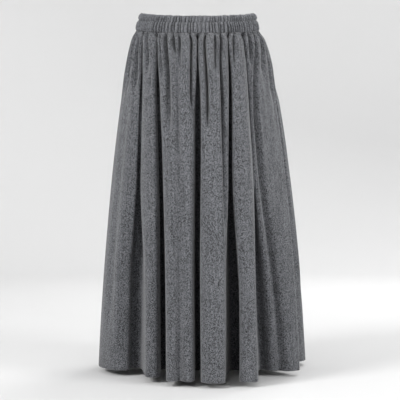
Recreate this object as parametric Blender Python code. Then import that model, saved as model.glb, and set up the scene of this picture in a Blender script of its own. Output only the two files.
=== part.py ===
"""Gathered midi skirt: an elastic waistband over a front and a back panel of grey flannel.

Metres, +Z up. The front faces -Y, and +X is on the right of someone who looks at the front.
The origin is the middle of the waistband, where the wearer's waist holds the skirt.
Points in plan are complex numbers: X is the real part and Y the imaginary part.
"""

import cmath
import math
from collections import namedtuple

import bmesh
import bpy

MM = 0.001

# Driving sizes
BAND_HEIGHT = 0.038
SKIRT_DROP = 0.7615
WAIST_DIP = 0.0235
DIP_BLEND = 0.25
CLOTH_WALL = 0.0020
BAND_WALL = 0.0040
SEAM_GAP = 0.00035

# Ovals of the waist seam and of the band's upper edge, on the middle of the wall
SEAM_HALF_WIDTH = 0.1370
SEAM_HALF_DEPTH = 0.1010
SEAM_CENTRE_X = -0.0009
BAND_TOP_HALF_WIDTH = 0.1275
BAND_TOP_HALF_DEPTH = 0.0945

# The cloth springs out just under the gathers, then flares more and more slowly to the hem
SPRING_SHARE = 0.15
SPRING_DROP = 0.04
FLARE_CURVE = 0.65

# The hem rises a little towards the folds' floors, which hang steeper than the crowns
HEM_LIFT = 0.0085
HEM_REACH = 0.238

# Gathers: depth under the seam, how they pinch at the seam itself, and how long and short ones fade
GATHER_DEPTH = 0.0070
SEAM_PINCH = 0.45
PINCH_DROP = 0.020
GROOVE_DEPTH = 0.008
LONG_FADE = 1.25
SHORT_FADE = 0.70

# Folds: how their faces round off, how wide a dent is, and how their slots open and bow
FACE_CURVE = 2.6
DENT_REACH = 0.36
FOLD_OPENING = 0.20
SLOT_SHARE = 1.0
WALL_BOW = 0.0025
MOUTH_OPENS = 0.42
MOUTH_RUN = 0.34
NEAREST_MOUTH = 0.75
SLOT_ROUNDNESS = 0.36
SHARP_ANGLE = math.radians(50.0)

# The waistband's ruffles
BAND_RUFFLES = 104
RUFFLE_HEIGHT = 0.0019

# One row for each fold, anticlockwise from above, starting at the left end of the front. Lengths are
# millimetres and bearings degrees, 0 at the front and 90 at +X.
#   seam      bearing at the waist seam of the slot that follows the fold
#   x, y      middle of the fold's face at the hem
#   width     of the face at the hem, and the bearing that it is facing
#   sag       how far the face's two lips lie behind its middle, and the dent down that middle
#   gathers   small gathers on the face under the seam
#   fade      share of the drop over which those gathers run out
#   floor     plan point of the floor of the slot that follows, at the hem, and the floor's gap
#   start     share of the drop at which that slot starts to open
#   mouth     share of that slot's mouth that stays open over the upper half of the skirt
#   lean      how far that slot's mouth bends aside half way down, anticlockwise
Fold = namedtuple(
    "Fold", "name seam x y width facing sag dent gathers fade floor_x floor_y gap start mouth lean"
)
FRONT_FOLDS = [
    Fold("a", -61.0, -208, -39, 122, -59, 18, 0, 4, 0.24, -139, -52, 20, -0.06, 0.36, 0),
    Fold("b", -42.5, -98, -168, 40, -12, 13, 0, 1, 0.14, -76, -78, 15, 0.00, 0.85, 0),
    Fold("c", 0.0, -34, -220, 63, -2, 9, 11, 5, 0.20, 3, -92, 13, 0.06, 1.00, 0),
    Fold("d", 30.0, 36, -238, 60, 3, 14, 0, 3, 0.36, 83, -92, 20, -0.04, 0.45, 0),
    Fold("e", 45.0, 113, -221, 45, 14, 13, 0, 1, 0.16, 141, -68, 9, 0.42, 0.30, -11),
    Fold("g", 88.0, 189, -80, 79, 12, 14, 8, 4, 0.26, 188, 4, 24, 0.06, 0.95, 0),
]
BACK_FOLDS = [
    Fold("h", 110.0, 252, 112, 66, 100, 16, 0, 2, 0.18, 147, 88, 20, 0.04, 0.60, 0),
    Fold("i", 128.0, 181, 167, 50, 130, 13, 0, 1, 0.14, 94, 106, 17, 0.00, 0.50, 0),
    Fold("j", 151.0, 118, 217, 74, 155, 14, 6, 3, 0.22, 46, 152, 19, 0.08, 0.40, 0),
    Fold("k", 170.0, 33, 240, 58, 170, 13, 0, 2, 0.15, -2, 132, 16, 0.00, 0.60, 0),
    Fold("l", 194.0, -53, 240, 80, 195, 15, 0, 3, 0.25, -58, 143, 19, 0.12, 0.35, 0),
    Fold("m", 211.0, -130, 197, 54, 211, 13, 0, 1, 0.14, -90, 98, 17, 0.02, 0.50, 0),
    Fold("n", 233.0, -189, 144, 68, 238, 13, 7, 2, 0.20, -134, 74, 19, 0.06, 0.40, 0),
    Fold("o", 270.0, -222, 72, 60, 256, 14, 0, 3, 0.24, -176, 31, 20, 0.08, 0.80, 0),
]

# General figure inside the skirt: no fold's floor comes nearer than these ovals
Figure = namedtuple("Figure", "share half_width half_depth")
FIGURE = [
    Figure(0.00, 0.124, 0.090),
    Figure(0.10, 0.148, 0.104),
    Figure(0.24, 0.165, 0.115),
    Figure(0.50, 0.148, 0.098),
    Figure(0.75, 0.115, 0.080),
    Figure(1.00, 0.090, 0.070),
]

# Rows of the panels, as shares of the drop, and rows of the waistband
PANEL_ROWS = [0.0, 0.008, 0.025, 0.05, 0.09, 0.15, 0.23, 0.34, 0.48, 0.64, 0.82, 1.0]
BandRow = namedtuple("BandRow", "share stand_off ruffle")
BAND_ROWS = [
    BandRow(0.00, -0.0012, 0.35),
    BandRow(0.10, 0.0004, 0.95),
    BandRow(0.37, -0.0012, 0.50),
    BandRow(0.50, 0.0004, 1.10),
    BandRow(0.84, -0.0004, 1.10),
    BandRow(1.00, -0.0020, 0.45),
]

Finish = namedtuple("Finish", "name colour roughness")
FLANNEL = Finish("grey_flannel", (0.155, 0.160, 0.172, 1.0), 0.92)
BAND_CLOTH = Finish("waistband_cloth", (0.150, 0.155, 0.166, 1.0), 0.92)


def smooth(share):
    """Smooth step from 0 to 1."""
    share = min(1.0, max(0.0, share))
    return share * share * (3.0 - 2.0 * share)


def mix(start, end, share):
    return start + (end - start) * share


def oval(bearing, half_width, half_depth):
    """Plan point on an oval round the waist, with bearing 0 at the front."""
    return complex(
        SEAM_CENTRE_X + half_width * math.sin(bearing),
        -half_depth * math.cos(bearing),
    )


def waist_dip(bearing):
    """How far the waist lies below its level at the sides and the back. Only the front dips."""
    forward = math.cos(bearing)
    return WAIST_DIP * (math.hypot(forward, DIP_BLEND) + forward - DIP_BLEND) / 2.0


def seam_bearing(point):
    """Bearing on the waist seam of a plan point near it."""
    across = (point.real - SEAM_CENTRE_X) / SEAM_HALF_WIDTH
    return math.atan2(across, -point.imag / SEAM_HALF_DEPTH)


def flare(share):
    """Share of the way from the waist oval to the hem that a fold's face has gone."""
    sprung = 1.0 - math.exp(-share / SPRING_DROP)
    hung = share * (1.0 + FLARE_CURVE - FLARE_CURVE * share)
    return SPRING_SHARE * sprung + (1.0 - SPRING_SHARE) * hung


def clear_of_figure(floor, mouth, share):
    """Moves a slot's floor towards its mouth until it is outside the general figure."""
    upper = max((f for f in FIGURE if f.share <= share), key=lambda f: f.share)
    lower = min((f for f in FIGURE if f.share >= share), key=lambda f: f.share)
    between = smooth((share - upper.share) / ((lower.share - upper.share) or 1.0))
    half_width = mix(upper.half_width, lower.half_width, between)
    half_depth = mix(upper.half_depth, lower.half_depth, between)
    start, end = (
        complex((point.real - SEAM_CENTRE_X) / half_width, point.imag / half_depth)
        for point in (floor, mouth)
    )
    if abs(start) >= 1.0:
        return floor
    run = end - start
    along = (start * run.conjugate()).real / abs(run)
    way = (math.sqrt(along * along + 1.0 - abs(start) ** 2) - along) / abs(run)
    return mix(floor, mouth, min(way, NEAREST_MOUTH))


def face_places(fold):
    """Places across a fold's face, from -1 at its left lip to 1, and how deep its gathers are there."""
    count = max(5, 2 * fold.gathers + 1)
    places = [mix(-1.0, 1.0, i / (count - 1)) for i in range(count)]
    if fold.gathers == 1:
        return places, [0.0, 0.5, 1.0, 0.5, 0.0]
    return places, [float(i % 2) for i in range(count)]


def face_at_hem(fold, place):
    """Plan point of a fold's face at the hem."""
    along = cmath.exp(1j * math.radians(fold.facing))
    outward = -1j * along
    sag = fold.sag * abs(place) ** FACE_CURVE
    dent = fold.dent * max(0.0, 1.0 - abs(place) / DENT_REACH)
    middle = complex(fold.x, fold.y)
    return (middle + along * place * fold.width / 2.0 - outward * (sag + dent)) * MM


def gather_inset(share, fade):
    """Depth of a gather at a share of the drop: pinched at the seam, then full, then faded out."""
    opened = mix(SEAM_PINCH, 1.0, smooth(share / PINCH_DROP))
    return GATHER_DEPTH * opened * (1.0 - smooth(share / fade))


def face_column(fold, before, index, share):
    """Plan point of one column of a fold's face at a share of the drop."""
    places, depths = face_places(fold)
    steps = len(places) - 1 + 2.0 * SLOT_SHARE
    bearing = math.radians(mix(before, fold.seam, (index + SLOT_SHARE) / steps))
    waist = oval(bearing, SEAM_HALF_WIDTH, SEAM_HALF_DEPTH)
    point = mix(waist, face_at_hem(fold, places[index]), flare(share))
    lasting = SHORT_FADE if index // 2 % 2 else LONG_FADE
    inset = depths[index] * gather_inset(share, fold.fade * lasting)
    return point - inset * cmath.exp(1j * (bearing - math.pi / 2.0))


def slot_columns(fold, lip, next_lip, share):
    """Plan points of the slot between two lips: wall, left floor, middle, right floor, wall."""
    mouth = (lip + next_lip) / 2.0
    seam = math.radians(fold.seam)
    groove = mouth - cmath.exp(1j * (seam - math.pi / 2.0)) * mix(
        SEAM_PINCH * GROOVE_DEPTH, GROOVE_DEPTH, smooth(share / PINCH_DROP)
    )
    waist = oval(seam, SEAM_HALF_WIDTH, SEAM_HALF_DEPTH)
    hung = mix(waist, complex(fold.floor_x, fold.floor_y) * MM, share)
    opened = smooth((share - fold.start) / FOLD_OPENING)
    middle = mix(groove, clear_of_figure(hung, mouth, share), opened)
    depth = abs(mouth - middle)
    outward = (mouth - middle) / depth
    across = 1j * outward
    half_gap = mix(0.16 * abs(next_lip - lip), fold.gap * MM / 2.0, smooth(share / 0.4))
    half_gap = min(half_gap, SLOT_ROUNDNESS * depth)
    bow = WALL_BOW * smooth(share / 0.5)
    left = middle - across * half_gap
    right = middle + across * half_gap
    return [
        (lip + left) / 2.0 - across * bow,
        left,
        middle - outward * 0.35 * half_gap,
        right,
        (right + next_lip) / 2.0 + across * bow,
    ]


def mouths_drawn_in(folds, faces, share):
    """The faces with their lips drawn together over the slots, which gape only further down."""
    gaping = smooth((share - MOUTH_OPENS) / MOUTH_RUN)
    bent = 4.0 * share * (1.0 - share)
    shifts = []
    for number, fold in enumerate(folds):
        drawn = (1.0 - mix(fold.mouth, 1.0, gaping)) * smooth(share / 0.1)
        apart = faces[(number + 1) % len(folds)][0] - faces[number][-1]
        aside = apart / abs(apart) * fold.lean * MM * bent
        shifts.append((apart * drawn / 2.0 + aside, aside - apart * drawn / 2.0))
    moved = []
    for number, face in enumerate(faces):
        ways = [i / (len(face) - 1) for i in range(len(face))]
        pulls = [shifts[number][0] * w * w + shifts[number - 1][1] * (1.0 - w) ** 2 for w in ways]
        moved.append([point + pull for point, pull in zip(face, pulls)])
    return moved


def skirt_ring(folds, share):
    """Every column of the closed ring of folds at a share of the drop, and where the slots' middles are."""
    faces = []
    for number, fold in enumerate(folds):
        before = folds[number - 1].seam - (360.0 if number == 0 else 0.0)
        count = len(face_places(fold)[0])
        faces.append([face_column(fold, before, i, share) for i in range(count)])
    faces = mouths_drawn_in(folds, faces, share)
    ring = []
    middles = []
    for number, fold in enumerate(folds):
        next_face = faces[(number + 1) % len(folds)]
        ring += faces[number]
        ring += slot_columns(fold, faces[number][-1], next_face[0], share)
        middles.append(len(ring) - 3)
    return ring, middles


def hem_height(point):
    lift = HEM_LIFT * max(0.0, 1.0 - abs(point) / HEM_REACH)
    return lift - BAND_HEIGHT / 2.0 - SKIRT_DROP


def seam_height(point):
    return -BAND_HEIGHT / 2.0 - SEAM_GAP - waist_dip(seam_bearing(point))


def wall_offsets(points):
    """Outward offsets of a closed plan curve, anticlockwise, that keep a wall's thickness at its corners."""
    offsets = []
    for i, point in enumerate(points):
        before = point - points[i - 1]
        after = points[(i + 1) % len(points)] - point
        first = -1j * before / abs(before)
        second = -1j * after / abs(after)
        turned = (first * second.conjugate()).real
        offsets.append((first + second) / max(1.0 + turned, 0.75))
    return offsets


def spatial(point, height):
    return (point.real, point.imag, height)


def panel_grids(folds):
    """Outer and inner rows of the closed skirt wall, and the index of each slot's middle column."""
    rows = []
    for share in PANEL_ROWS:
        points = skirt_ring(folds, share)[0]
        offsets = [offset * CLOTH_WALL / 2.0 for offset in wall_offsets(points)]
        rows.append((points, offsets))
    hem_heights = [hem_height(point) for point in rows[-1][0]]
    grids = []
    for side in (1.0, -1.0):
        tops = [seam_height(point + side * offset) for point, offset in zip(*rows[0])]
        grid = []
        for share, (points, offsets) in zip(PANEL_ROWS, rows):
            heights = [mix(*ends, share) for ends in zip(tops, hem_heights)]
            grid.append([spatial(p + side * o, z) for p, o, z in zip(points, offsets, heights)])
        grids.append(grid)
    return *grids, skirt_ring(folds, 1.0)[1]


def cut_columns(grid, first, last):
    """The columns of a closed grid from first to last, both kept, going on past the end of the row."""
    count = len(grid[0])
    total = (last - first) % count + 1
    return [[row[(first + i) % count] for i in range(total)] for row in grid]


def trim_side(row, from_left):
    """Moves a row's end column half a seam gap towards its neighbour."""
    end, neighbour = (row[0], row[1]) if from_left else (row[-1], row[-2])
    run = [b - a for a, b in zip(end, neighbour)]
    back = SEAM_GAP / 2.0 / math.hypot(run[0], run[1])
    moved = (end[0] + run[0] * back, end[1] + run[1] * back, end[2])
    return [moved, *row[1:]] if from_left else [*row[:-1], moved]


def trimmed(grid):
    return [trim_side(trim_side(row, True), False) for row in grid]


def band_height(point, share):
    return BAND_HEIGHT * (0.5 - share) - waist_dip(seam_bearing(point))


def band_grids():
    """Outer and inner rows of the waistband, with its ruffles."""
    outer = []
    inner = []
    count = 2 * BAND_RUFFLES
    bearings = [2.0 * math.pi * i / count for i in range(count)]
    for row in BAND_ROWS:
        half_width = mix(BAND_TOP_HALF_WIDTH, SEAM_HALF_WIDTH, row.share) + row.stand_off
        half_depth = mix(BAND_TOP_HALF_DEPTH, SEAM_HALF_DEPTH, row.share) + row.stand_off
        points = [oval(bearing, half_width, half_depth) for bearing in bearings]
        outer_row = []
        inner_row = []
        for i, (point, offset) in enumerate(zip(points, wall_offsets(points))):
            uneven = 0.8 + 0.2 * math.sin(2.1 * i)
            ruffle = RUFFLE_HEIGHT * row.ruffle * uneven * (1.0 if i % 2 else -1.0)
            outside = point + offset * (BAND_WALL / 2.0 + ruffle)
            inside = point - offset * (BAND_WALL - ruffle) / 2.0
            outer_row.append(spatial(outside, band_height(outside, row.share)))
            inner_row.append(spatial(inside, band_height(inside, row.share)))
        outer.append(outer_row)
        inner.append(inner_row)
    return outer, inner


def material(finish):
    made = bpy.data.materials.new(finish.name)
    made.use_nodes = True
    shader = made.node_tree.nodes["Principled BSDF"]
    shader.inputs["Base Color"].default_value = finish.colour
    shader.inputs["Roughness"].default_value = finish.roughness
    shader.inputs["Metallic"].default_value = 0.0
    return made


def wall(name, outer, inner, finish, holder, closed):
    """A closed solid between an outer and an inner grid. A closed wall runs round as a ring."""
    body = bmesh.new()
    front, behind = (
        [[body.verts.new(point) for point in row] for row in grid] for grid in (outer, inner)
    )
    columns = len(outer[0])
    spans = [(i, (i + 1) % columns) for i in range(columns if closed else columns - 1)]
    for side in (front, behind):
        for upper, lower in zip(side, side[1:]):
            for i, k in spans:
                body.faces.new((upper[i], upper[k], lower[k], lower[i]))
    for edge in (0, -1):
        for i, k in spans:
            body.faces.new((front[edge][i], front[edge][k], behind[edge][k], behind[edge][i]))
    for column in () if closed else (0, -1):
        for i in range(len(outer) - 1):
            across = (front[i][column], behind[i][column])
            back = (behind[i + 1][column], front[i + 1][column])
            body.faces.new((*across, *back))
    bmesh.ops.recalc_face_normals(body, faces=body.faces)
    mesh = bpy.data.meshes.new(name)
    body.to_mesh(mesh)
    body.free()
    mesh.shade_smooth()
    mesh.set_sharp_from_angle(angle=SHARP_ANGLE)
    mesh.materials.append(finish)
    piece = bpy.data.objects.new(name, mesh)
    piece.parent = holder
    bpy.context.scene.collection.objects.link(piece)
    return piece


def build():
    for old in list(bpy.data.objects):
        bpy.data.objects.remove(old)
    waist = bpy.data.objects.new("waist", None)
    bpy.context.scene.collection.objects.link(waist)
    flannel = material(FLANNEL)

    outer, inner = band_grids()
    wall("waistband", outer, inner, material(BAND_CLOTH), waist, closed=True)

    outer, inner, middles = panel_grids(FRONT_FOLDS + BACK_FOLDS)
    left_seam = middles[-1]
    right_seam = middles[len(FRONT_FOLDS) - 1]
    for name, first, last in (
        ("front_panel", left_seam, right_seam),
        ("back_panel", right_seam, left_seam),
    ):
        outer_part, inner_part = (
            trimmed(cut_columns(grid, first, last)) for grid in (outer, inner)
        )
        wall(name, outer_part, inner_part, flannel, waist, closed=False)


build()
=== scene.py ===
"""Gathered midi skirt in grey flannel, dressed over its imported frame.

Metres, +Z up, the front faces -Y. Points in plan are complex numbers, X real and Y imaginary.
"""

import math
from collections import namedtuple

import bpy
import numpy as np
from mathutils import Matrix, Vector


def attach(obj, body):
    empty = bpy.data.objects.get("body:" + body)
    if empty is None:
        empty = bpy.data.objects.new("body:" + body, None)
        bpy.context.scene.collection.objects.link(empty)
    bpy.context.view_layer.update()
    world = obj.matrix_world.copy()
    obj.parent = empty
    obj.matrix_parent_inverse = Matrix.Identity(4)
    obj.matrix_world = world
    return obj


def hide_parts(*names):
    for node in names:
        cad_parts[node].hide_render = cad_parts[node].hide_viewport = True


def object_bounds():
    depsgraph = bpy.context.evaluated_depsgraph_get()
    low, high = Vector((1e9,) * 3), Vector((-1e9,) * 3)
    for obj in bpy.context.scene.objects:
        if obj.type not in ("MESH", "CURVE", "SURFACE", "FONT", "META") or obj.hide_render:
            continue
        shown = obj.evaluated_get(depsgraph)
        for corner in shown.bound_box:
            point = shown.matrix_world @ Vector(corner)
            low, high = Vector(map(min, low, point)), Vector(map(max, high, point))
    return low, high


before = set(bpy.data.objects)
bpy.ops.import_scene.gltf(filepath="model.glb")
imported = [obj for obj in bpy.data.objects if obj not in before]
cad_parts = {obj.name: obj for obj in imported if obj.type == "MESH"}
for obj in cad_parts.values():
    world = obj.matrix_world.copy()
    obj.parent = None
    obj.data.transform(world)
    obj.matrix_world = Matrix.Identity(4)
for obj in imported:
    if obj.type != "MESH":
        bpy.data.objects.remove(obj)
CAD_LOW, CAD_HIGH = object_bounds()

bl_info = {
    "name": "Gathered midi skirt",
    "version": (1, 0, 0),
    "blender": (4, 5, 0),
    "location": "3D View > Sidebar > Skirt",
    "description": "Sews the skirt's flannel panels, waistband and stitching over the frame",
    "category": "Object",
}

MM = 0.001

# Ovals of the waist seam and of the band's upper edge
SEAM_HALF_WIDTH = 0.1370
SEAM_HALF_DEPTH = 0.1010
SEAM_CENTRE_X = -0.0009
BAND_TOP_HALF_WIDTH = 0.1275
BAND_TOP_HALF_DEPTH = 0.0945
WAIST_DIP = 0.0235
DIP_BLEND = 0.25
SEAM_GAP = 0.00035

# How the cloth springs out under the gathers, flares, and hangs at the hem
SPRING_SHARE = 0.15
SPRING_DROP = 0.04
FLARE_CURVE = 0.65
HEM_LIFT = 0.0085
HEM_REACH = 0.238
TURN_UP = 0.024

# How the folds' faces round off and their slots open
FACE_CURVE = 2.6
ROLL_CURVE = 5.0
ROLL_ASIDE = 0.45
PINCH_DROP = 0.020
SEAM_PINCH = 0.45
GROOVE_DEPTH = 0.008
SEAM_SLOT_DEPTH = 0.013
SEAM_SLOT_SHARE = 0.12
SEAM_SLOT_RUN = 0.25
FOLD_OPENING = 0.20
UPPER_GAP_SHARE = 0.16
GAP_RUN = 0.4
WALL_BOW = 0.0025
WALL_BOW_RUN = 0.5
NEAREST_MOUTH = 0.75
SLOT_ROUNDNESS = 0.36
FLOOR_ROUNDNESS = 0.35

# How the lips are drawn together over the slots, and waver, with shares of the drop
MOUTH_OPENS = 0.42
MOUTH_RUN = 0.34
DRAWN_RUN = 0.1
GATHERED_MOUTH = 0.55
GATHERED_START = 0.03
GATHERED_SHARE = 0.06
GATHERED_RUN = 0.14
WAVER_MM = 1.4
WAVER_START = 0.2
WAVER_TURN = 9.0
WAVER_APART = 2.3

# Share of a bend's radius that the cloth may stand off its middle on the inner side of the bend,
# and the bend, as one over its radius, below which the cloth counts as straight
TIGHT_BEND = 0.40
GENTLE_BEND = 1.0

# Points of one fold's block, which starts and ends in the middle of a slot, its fewest points at
# the waist seam, the columns that each point gives, and the points over which creases fade out
# beside a slot's floor
FACE_COLUMNS = 9
SLOT_COLUMNS = 5
BEFORE_FACE = 3
LEAST_AT_SEAM = 5
FINENESS = 6
FLOOR_FADE = 2.0
BLOCK = (FACE_COLUMNS + SLOT_COLUMNS) * FINENESS

# Rows down the cloth: from and to which share of the drop, and how many, then how far they stay
# above the last rows, which are given by their height above the hem
ROW_RUNS = ((0.0, 0.03, 9), (0.03, 0.16, 17), (0.16, 0.97, 40))
ROW_CLEARANCE = 0.004
HEM_ROWS = np.array([0.024, 0.0235, 0.016, 0.008, 0.003, 0.0])

# One row for each fold, anticlockwise from above, from the left end of the front. Millimetres and
# degrees:
#   seam                    bearing, at the waist seam, of the slot that follows the fold
#   x y width facing        middle, width and direction of the fold's face at the hem
#   sag gathers             how far the face's edges lie back, and its gathers at the seam
#   floor_x floor_y gap     floor and width of the slot at the hem
#   start                   share of the drop where the slot starts
#   mouth lean              how open the slot's mouth stays, and how far it bends aside
#   roll_left roll_right    how far the fold's lips roll in at the hem
Fold = namedtuple(
    "Fold",
    "name seam x y width facing sag gathers floor_x floor_y gap start mouth lean "
    "roll_left roll_right",
)
FRONT_FOLDS = [
    Fold("a", -61.0, -208, -39, 122, -59, 18, 4, -139, -52, 20, -0.06, 0.36, 0, 0, 11),
    Fold("b", -42.5, -98, -168, 40, -12, 13, 1, -76, -78, 15, 0.00, 0.85, 0, 3, 15),
    Fold("c", 0.0, -34, -220, 63, -2, 9, 5, 3, -92, 13, 0.06, 1.00, 0, 4, 13),
    Fold("d", 30.0, 36, -238, 60, 3, 14, 3, 83, -92, 20, -0.04, 0.45, 0, 4, 18),
    Fold("e", 45.0, 113, -221, 45, 14, 13, 1, 141, -68, 9, 0.42, 0.30, -11, 2, 11),
    Fold("g", 88.0, 189, -80, 79, 12, 14, 4, 188, 4, 24, 0.06, 0.95, 0, 5, 0),
]
BACK_FOLDS = [
    Fold("h", 110.0, 252, 112, 66, 100, 16, 2, 147, 88, 20, 0.04, 0.60, 0, 0, 9),
    Fold("i", 128.0, 181, 167, 50, 130, 13, 1, 94, 106, 17, 0.00, 0.50, 0, 5, 10),
    Fold("j", 151.0, 118, 217, 74, 155, 14, 3, 46, 152, 19, 0.08, 0.40, 0, 5, 9),
    Fold("k", 170.0, 33, 240, 58, 170, 13, 2, -2, 132, 16, 0.00, 0.60, 0, 5, 11),
    Fold("l", 194.0, -53, 240, 80, 195, 15, 3, -58, 143, 19, 0.12, 0.35, 0, 5, 9),
    Fold("m", 211.0, -130, 197, 54, 211, 13, 1, -90, 98, 17, 0.02, 0.50, 0, 6, 8),
    Fold("n", 233.0, -189, 144, 68, 238, 13, 2, -134, 74, 19, 0.06, 0.40, 0, 5, 9),
    Fold("o", 270.0, -222, 72, 60, 256, 14, 3, -176, 31, 20, 0.08, 0.80, 0, 7, 0),
]
FOLDS = FRONT_FOLDS + BACK_FOLDS

# General figure inside the skirt, which no fold's floor passes: (share of the drop, half sizes)
FIGURE_SHARES = np.array([0.0, 0.10, 0.24, 0.50, 0.75, 1.0])
FIGURE_HALF_WIDTHS = np.array([0.124, 0.148, 0.165, 0.148, 0.115, 0.090])
FIGURE_HALF_DEPTHS = np.array([0.090, 0.104, 0.115, 0.098, 0.080, 0.070])

# Creases, as listed. Depths and widths in millimetres at the upper and lower end. The path gives
# share of the drop and place across the fold's face, -1 at its left lip and 1 at its right one.
Crease = namedtuple("Crease", "fold depths widths path")
CREASES = [
    Crease("a", (15, 6), (3.8, 10), ((-0.02, -0.45), (0.22, -0.38))),
    Crease("a", (15, 7), (3.6, 8), ((-0.02, 0.02), (0.20, 0.05))),
    Crease("a", (12, 6), (3.4, 6), ((-0.02, 0.34), (0.15, 0.36))),
    Crease("a", (18, 9), (3.6, 7), ((-0.02, 0.66), (0.20, 0.74))),
    Crease("a", (1.5, 3), (9, 16), ((0.22, 0.30), (0.55, 0.22), (0.90, 0.30))),
    Crease("b", (14.9, 6.2), (3.5, 7), ((-0.02, -0.39), (0.15, -0.25))),
    Crease("c", (9.4, 4.9), (4, 7), ((-0.02, -0.91), (0.20, -0.88))),
    Crease("c", (14.9, 7.4), (4, 9), ((-0.02, -0.52), (0.32, -0.56))),
    Crease("c", (14.9, 6.2), (3.5, 6), ((-0.02, -0.10), (0.11, -0.12))),
    Crease("c", (13, 6.2), (3.5, 7), ((-0.02, 0.22), (0.15, 0.10))),
    Crease(
        "c", (3, 12), (4, 13),
        ((0.03, -0.05), (0.20, 0.02), (0.49, -0.09), (0.77, -0.16), (1.2, -0.16)),
    ),
    Crease("c", (2.6, 3.9), (6, 9), ((0.33, 0.15), (0.42, 0.17), (0.63, 0.23), (0.92, 0.24))),
    Crease("c", (20, 14), (3.2, 3.6), ((-0.02, 0.80), (0.086, 0.76), (0.14, 0.80), (0.25, 0.84))),
    Crease("d", (20, 15), (3.2, 4), ((-0.02, -0.66), (0.04, -0.64), (0.115, -0.56), (0.30, -0.56))),
    Crease("d", (13, 6.2), (3.5, 7), ((-0.02, 0.15), (0.17, 0.08))),
    Crease(
        "d", (16, 8.5), (3.5, 7),
        ((-0.02, 0.60), (0.087, 0.44), (0.19, 0.51), (0.42, 0.67), (0.60, 0.78)),
    ),
    Crease("e", (14, 3), (3.5, 6), ((-0.02, -0.30), (0.08, -0.66), (0.15, -0.74))),
    Crease("g", (14.9, 6.2), (3.5, 7), ((-0.02, -0.68), (0.14, -0.76))),
    Crease("g", (14.9, 7.4), (4, 7), ((-0.02, 0.45), (0.03, 0.33), (0.15, -0.10))),
    Crease(
        "g", (9.0, 5.5), (3.8, 13),
        ((-0.02, -0.14), (0.03, -0.20), (0.087, -0.54), (0.235, -0.79),
         (0.50, -0.66), (0.94, -0.23), (1.2, -0.20)),
    ),
    Crease("g", (11.2, 4.9), (4.2, 7), ((-0.02, 0.78), (0.22, 0.70))),
    Crease("h", (16, 7.4), (4, 8), ((-0.02, -0.45), (0.21, -0.55))),
    Crease("h", (16, 10.1), (3.8, 9), ((-0.02, 0.25), (0.15, 0.10), (0.45, -0.12), (0.80, -0.20))),
    Crease("i", (14.9, 6.2), (4, 7), ((-0.02, 0.10), (0.17, -0.08))),
    Crease("j", (14.9, 6.2), (3.8, 7), ((-0.02, -0.62), (0.15, -0.52))),
    Crease("j", (12.5, 9.1), (3.8, 11), ((-0.02, 0.05), (0.20, 0.12), (0.60, 0.02), (1.2, 0.04))),
    Crease("j", (16, 7.4), (4, 9), ((-0.02, 0.58), (0.27, 0.70))),
    Crease("k", (16, 9.8), (3.8, 7), ((-0.02, -0.20), (0.12, -0.35), (0.36, -0.48))),
    Crease("k", (13, 6.2), (3.5, 7), ((-0.02, 0.48), (0.12, 0.40))),
    Crease("l", (14.9, 7.4), (3.8, 8), ((-0.02, -0.70), (0.19, -0.62))),
    Crease("l", (16, 8.5), (3.5, 8), ((-0.02, -0.15), (0.18, -0.22), (0.52, -0.40), (0.75, -0.50))),
    Crease("l", (14.9, 6.2), (3.8, 7), ((-0.02, 0.22), (0.14, 0.14))),
    Crease("l", (16, 8.8), (4, 9), ((-0.02, 0.66), (0.36, 0.58))),
    Crease("m", (14.9, 6.2), (3.8, 7), ((-0.02, -0.10), (0.15, 0.12))),
    Crease("n", (14.9, 7.4), (3.8, 8), ((-0.02, -0.50), (0.19, -0.40))),
    Crease("n", (11.2, 10.4), (3.8, 12), ((-0.02, 0.30), (0.22, 0.12), (0.62, 0.0), (1.2, -0.04))),
    Crease("o", (16, 7.4), (4, 9), ((-0.02, -0.62), (0.25, -0.52))),
    Crease("o", (13, 6.2), (3.8, 7), ((-0.02, 0.02), (0.14, 0.10))),
    Crease("o", (14.4, 8.5), (4, 9), ((-0.02, 0.60), (0.24, 0.45), (0.58, 0.34))),
]

# How creases fade in and out, are pinched at the seam and raise the cloth beside them, and how
# their paths are eased
CREASE_FADE = 0.02
FADE_SHARE = 0.55
LONGEST_FADE = 0.09
PINCHED_CREASE = 0.12
SHOULDER = 0.30
SHOULDER_WIDTH = 2.4
PATH_STEPS = 80
PATH_EASE = 0.05

# Soft wrinkles that run down the cloth, on every face: how many, and the least and the most of
# each one's place and drift across the face, start down the drop, width in millimetres and depth
WRINKLES_PER_FOLD = 9
WRINKLE_DEPTH = 1.5 * MM
WRINKLE_SEED = 41
LEAST_WRINKLE = (-0.9, -0.25, -0.1, 3.5, -1.0)
MOST_WRINKLE = (0.9, 0.25, 0.7, 10.0, 1.0)
WRINKLE_RUNS = (0.2, 0.6)
WRINKLE_FADE_IN = 0.1
WRINKLE_FADE_OUT = 0.15
WRINKLE_FLARE = 0.6

# Puckers between the ribs at the waist seam
PUCKER_DEPTH = 2.2 * MM
PUCKER_CURVE = 1.5
PUCKER_DROP = 0.035
PUCKER_MIDDLE = 0.3

# The turned-up hem: the share of the drop over which its upper edge steps in, how much of the
# cloth's thickness it adds inside, and how far the hem's edge rounds down
TURN_UP_STEP = 0.0006
TURN_UP_WALL = 0.8
HEM_EDGE = 0.9 * MM

# Places in the cloth's texture, in metres: between folds, at the band's start, inside the band,
# and round an edge
FOLDS_APART = 3.0
BAND_START = 60.0
BAND_INSIDE = 0.06
EDGE_ROUND = 0.001

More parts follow.
